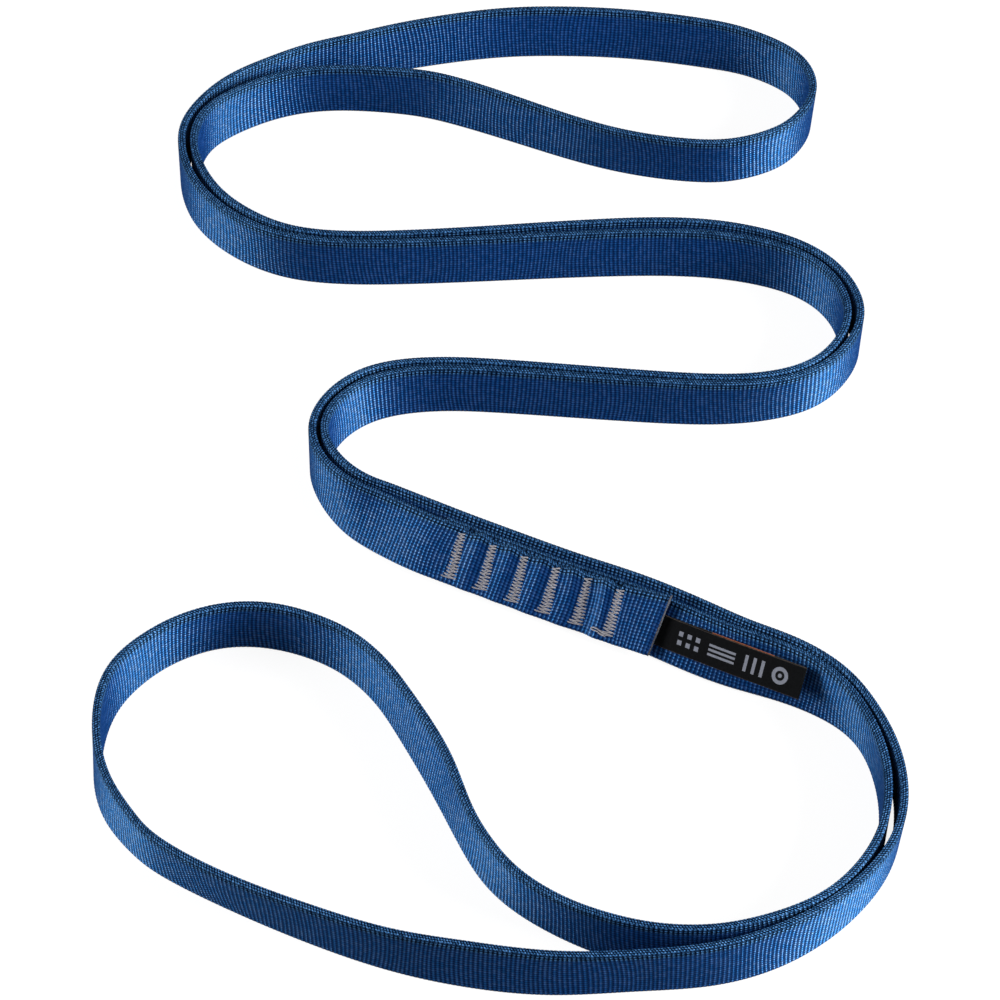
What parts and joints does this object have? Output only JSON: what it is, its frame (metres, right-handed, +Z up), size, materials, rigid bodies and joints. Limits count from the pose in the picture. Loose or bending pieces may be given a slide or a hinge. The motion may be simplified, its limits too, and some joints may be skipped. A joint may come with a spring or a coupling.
{
  "type": "climbing sling",
  "caption": "Sewn loop of flat webbing laid on its edge in a doubled serpentine, with a bar-tacked splice and a folded label.",
  "frame": {"origin": "centre of the laid sling's bounding box, on the floor that the webbing's edge stands on", "axes": "+Z up the webbing's width, +Y along the laid length towards the loop with the rounder tip, +X to the right in the picture"},
  "size_m": [0.2242, 0.3768, 0.0194],
  "materials": {
    "webbing": "woven nylon",
    "thread": "satin thread",
    "label": "woven tape"
  },
  "bodies": {
    "sling": {"webbing": "webbing", "bar_tack_1": "thread", "bar_tack_2": "thread", "bar_tack_3": "thread", "bar_tack_4": "thread", "bar_tack_5": "thread", "bar_tack_6": "thread", "label_sewn_end": "label"},
    "label": {"label_free_end": "label"}
  },
  "joints": [
    {"name": "label_swing", "type": "hinge", "parent": "sling", "child": "label", "pos_m": [0.04774, -0.06709, 0.00869], "axis": [-0.2782, -0.4766, -0.8339], "range_deg": [0, 80], "stiffness_Nm_per_rad": 0.0004}
  ]
}
